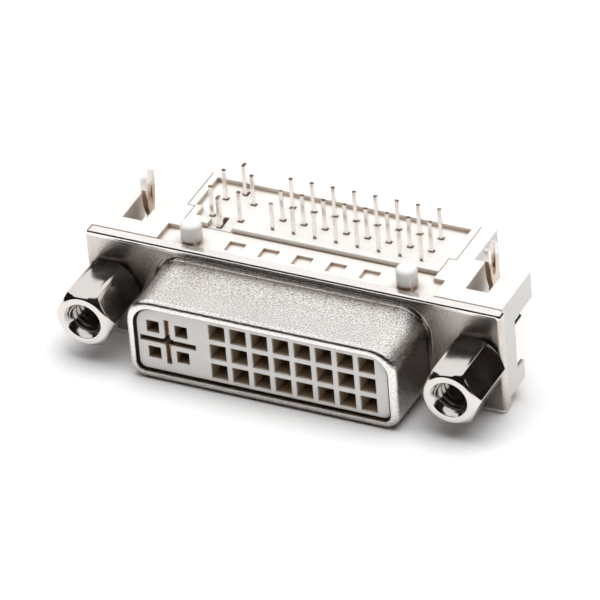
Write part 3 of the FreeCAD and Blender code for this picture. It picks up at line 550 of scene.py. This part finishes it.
class CONNECTOR_OT_sockets(PieceOperator, bpy.types.Operator):
    """Finish the two hex jack sockets and turn their female threads"""
    bl_idname = "connector.sockets"
    bl_label = "Jack sockets"

    mouth: length("Mouth", 1.65, "Radius of the countersink at the front")
    sink: length("Countersink", 0.36, "Depth of the countersink")
    minor: length("Thread crest", 1.17, "Radius at the crest of the female thread")
    end: FloatProperty(name="Bore end", description="Where the threaded hole ends, along Y",
                       default=-0.75 * MM, unit="LENGTH", precision=5)

    def execute(self, context):
        settings = context.scene.connector_socket
        material = socket_material(settings, self.grain_tree())
        for side in SIDES:
            node = "jack_socket_" + side
            low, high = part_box(node)
            self.middle = (low.x + high.x) / 2
            bm = welded(node)
            self.open_mouth(bm)
            self.countersink(bm, settings.major)
            self.thread(bm, low.y, settings)
            finish_piece(bm, "hex_socket_" + side, [node], material, settings.edge)
        return {"FINISHED"}

    def radius(self, vert):
        """Distance of a corner from the axis of the socket."""
        return math.hypot(vert.co.x - self.middle, vert.co.z)

    def open_mouth(self, bm):
        """Cut away the plain bore."""
        bore = [f for f in bm.faces if f.calc_center_median().y < self.end - NEAR
                and all(self.radius(v) < self.mouth + NEAR for v in f.verts)]
        bmesh.ops.delete(bm, geom=bore, context="FACES")

    def countersink(self, bm, root):
        """Slope from the open mouth in to the root of the thread."""
        rim = [e for e in bm.edges if e.is_boundary
               and self.radius(e.verts[0]) > self.mouth - 2 * NEAR]
        made = bmesh.ops.extrude_edge_only(bm, edges=rim)["geom"]
        ring = [v for v in made if isinstance(v, bmesh.types.BMVert)]
        share = root / self.mouth
        here = Matrix.Translation((-self.middle, 0, 0))
        bmesh.ops.scale(bm, vec=(share, 1, share), space=here, verts=ring)
        bmesh.ops.translate(bm, vec=(0, self.sink, 0), verts=ring)

    def thread(self, bm, front, settings):
        """Turn the thread as one ridge, trimmed by the countersink where it starts."""
        pitch, root, crest = settings.pitch, settings.major, self.minor
        turns = math.ceil((self.end - front) / pitch) + 1
        ridge = []
        for i in range(THREAD_SAMPLES + 1):
            along = i / THREAD_SAMPLES
            rise = min(1.0, max(0.0, (RIDGE_FOOT - abs(along - 0.5)) / RIDGE_FLANK))
            out = root - rise * (root - crest)
            ridge.append(bm.verts.new((self.middle + out, front - pitch + along * pitch, 0)))
        edges = [bm.edges.new(pair) for pair in zip(ridge, ridge[1:])]
        bmesh.ops.spin(bm, geom=ridge + edges, cent=(self.middle, 0, 0), axis=(0, 1, 0),
                       dvec=(0, pitch / THREAD_STEPS, 0), angle=2 * math.pi * turns,
                       steps=THREAD_STEPS * turns, use_merge=False)
        bmesh.ops.remove_doubles(bm, verts=bm.verts, dist=THREAD_WELD)
        for v in bm.verts:
            out = self.radius(v)
            slope = self.mouth - (v.co.y - front) * (self.mouth - root) / self.sink
            slope = min(slope + THREAD_SKIN, self.mouth)
            if crest - WELD < out < min(slope, root + WELD) and v.co.y < self.end:
                v.co.x = self.middle + (v.co.x - self.middle) * slope / out
                v.co.z *= slope / out
        # the turn that starts in front of the socket goes, and what is left of it lies level
        lip = front + (self.mouth - root) / 2
        ahead = [f for f in bm.faces
                 if all(v.co.y < lip and self.radius(v) < self.mouth + NEAR for v in f.verts)
                 and min(v.co.y for v in f.verts) < front - WELD]
        bmesh.ops.delete(bm, geom=ahead, context="FACES")
        for v in bm.verts:
            v.co.y = max(v.co.y, front)


class CONNECTOR_OT_contacts(PieceOperator, bpy.types.Operator):
    """Finish the contacts with their plated tails and cut ends"""
    bl_idname = "connector.contacts"
    bl_label = "Contacts"

    def execute(self, context):
        settings = context.scene.connector_contact
        material = contact_material(settings, self.grain_tree())
        for node in CONTACTS:
            finish_piece(welded(node), "plated_" + node, [node], material,
                         settings.edge)
        return {"FINISHED"}


class CONNECTOR_OT_locks(PieceOperator, bpy.types.Operator):
    """Finish the two stamped board locks"""
    bl_idname = "connector.locks"
    bl_label = "Board locks"

    def execute(self, context):
        settings = context.scene.connector_contact
        material = lock_material(settings, self.grain_tree())
        for side in SIDES:
            node = "board_lock_" + side
            finish_piece(welded(node), "plated_" + node, [node], material,
                         settings.edge)
        return {"FINISHED"}


# ---- stage


def shown_points():
    """Every corner of the CAD nodes."""
    return [v.co for node in NODES.values() for v in node.data.vertices]


class CONNECTOR_OT_stage(bpy.types.Operator):
    """Lay the floor under the part and set the lamp, the room and the camera"""
    bl_idname = "connector.stage"
    bl_label = "Stage"

    def execute(self, context):
        settings = context.scene.connector_stage
        up = Vector((0, math.sin(settings.lean), math.cos(settings.lean)))
        ground = min(up.dot(point) for point in shown_points())
        turn = Vector((0, 0, 1)).rotation_difference(up).to_matrix().to_4x4()
        table = Matrix.Translation(up * ground) @ turn
        self.floor(table)
        self.room(context, settings)
        self.dark_room(table)
        self.lamp(context, settings)
        self.camera(context, settings)
        context.scene.view_settings.view_transform = "Standard"
        return {"FINISHED"}

    def floor(self, table):
        """A wide pale floor that touches the lowest edges of the part."""
        bm = bmesh.new()
        bmesh.ops.create_grid(bm, x_segments=1, y_segments=1, size=FLOOR_REACH)
        bmesh.ops.transform(bm, verts=bm.verts, matrix=table)
        material, _, shader = new_material("pale_floor")
        shader.inputs["Base Color"].default_value = FLOOR_WHITE
        shader.inputs["Roughness"].default_value = 0.9
        new_object(bm, "floor", material)

    def room(self, context, settings):
        """White to the camera and in metal, softer as a light."""
        world = bpy.data.worlds.new("studio")
        context.scene.world = world
        world.use_nodes = True
        wires = Wires(world.node_tree)
        background = world.node_tree.nodes["Background"]
        path = wires.add("LightPath").outputs
        seen = wires.math("MAXIMUM", path["Is Camera Ray"], path["Is Glossy Ray"])
        seen = wires.math("MAXIMUM", seen, path["Is Transmission Ray"])
        wires.join((1, 1, 1, 1), background.inputs["Color"])
        wires.join(wires.ramp(seen, 0.0, 1.0, settings.sky, 1.0, smooth=False),
                   background.inputs["Strength"])

    def dark_room(self, table):
        """Dark walls round the table, open overhead, that the camera can't see."""
        bm = bmesh.new()
        bmesh.ops.create_uvsphere(bm, u_segments=48, v_segments=32, radius=1.0)

        def open_sky(face):
            way = face.calc_center_median().normalized()
            front = way.x * CAMERA_SIDE[0] + way.y * CAMERA_SIDE[1]
            top = WALL_TOP + WALL_RISE * max(front, 0)
            return math.degrees(math.asin(way.z)) > top or way.z < WALL_FOOT

        bmesh.ops.delete(bm, geom=[f for f in bm.faces if open_sky(f)], context="FACES")
        bmesh.ops.transform(bm, verts=bm.verts, matrix=table)
        material, _, shader = new_material("dark_wall")
        shader.inputs["Base Color"].default_value = WALL_BROWN
        shader.inputs["Roughness"].default_value = 1.0
        shader.inputs["Specular IOR Level"].default_value = 0.0
        walls = new_object(bm, "dark_room", material)
        walls.visible_camera = False

    def lamp(self, context, settings):
        """One large softbox overhead, a little behind the part, that metal doesn't show."""
        data = bpy.data.lights.new("overhead", "AREA")
        data.shape = "RECTANGLE"
        data.size, data.size_y = LAMP_SIZE
        data.energy = settings.key
        lamp = bpy.data.objects.new("overhead", data)
        context.scene.collection.objects.link(lamp)
        lamp.location = LAMP_PLACE
        lamp.visible_glossy = False
        lamp.rotation_euler = Vector(LAMP_PLACE).to_track_quat("Z", "Y").to_euler()

    def camera(self, context, settings):
        """The camera of the photograph."""
        data = bpy.data.cameras.new("camera")
        data.sensor_width = SENSOR_WIDTH
        data.lens = settings.focal
        data.clip_start, data.clip_end = CLIP
        camera = bpy.data.objects.new("camera", data)
        context.scene.collection.objects.link(camera)
        look = (Vector(settings.place) - Vector(settings.aim)).to_track_quat("Z", "Y").to_matrix()
        turn = look @ Matrix.Rotation(-settings.roll, 3, "Z")
        camera.matrix_world = Matrix.Translation(settings.place) @ turn.to_4x4()
        context.scene.camera = camera


STEPS = [CONNECTOR_OT_stage, CONNECTOR_OT_shell, CONNECTOR_OT_plastic, CONNECTOR_OT_sockets,
         CONNECTOR_OT_contacts, CONNECTOR_OT_locks]


class CONNECTOR_PT_pieces(bpy.types.Panel):
    """Lists the pieces and their settings"""
    bl_idname = "CONNECTOR_PT_pieces"
    bl_label = "Board video connector"
    bl_space_type = "VIEW_3D"
    bl_region_type = "UI"
    bl_category = "Connector"

    def draw(self, context):
        for name, group in GROUPS.items():
            box = self.layout.box()
            for field in group.__annotations__:
                box.prop(getattr(context.scene, "connector_" + name), field)
        for step in STEPS:
            self.layout.operator(step.bl_idname)


def register():
    for kind in [*GROUPS.values(), *STEPS, CONNECTOR_PT_pieces]:
        bpy.utils.register_class(kind)
    for name, group in GROUPS.items():
        setattr(bpy.types.Scene, "connector_" + name, PointerProperty(type=group))


def unregister():
    for name in GROUPS:
        delattr(bpy.types.Scene, "connector_" + name)
    for kind in reversed([*GROUPS.values(), *STEPS, CONNECTOR_PT_pieces]):
        bpy.utils.unregister_class(kind)


def main():
    """Make every piece and the stage."""
    register()
    bpy.ops.connector.stage()
    bpy.ops.connector.shell()
    bpy.ops.connector.plastic()
    bpy.ops.connector.sockets()
    bpy.ops.connector.contacts()
    bpy.ops.connector.locks()


if __name__ == "__main__":
    main()
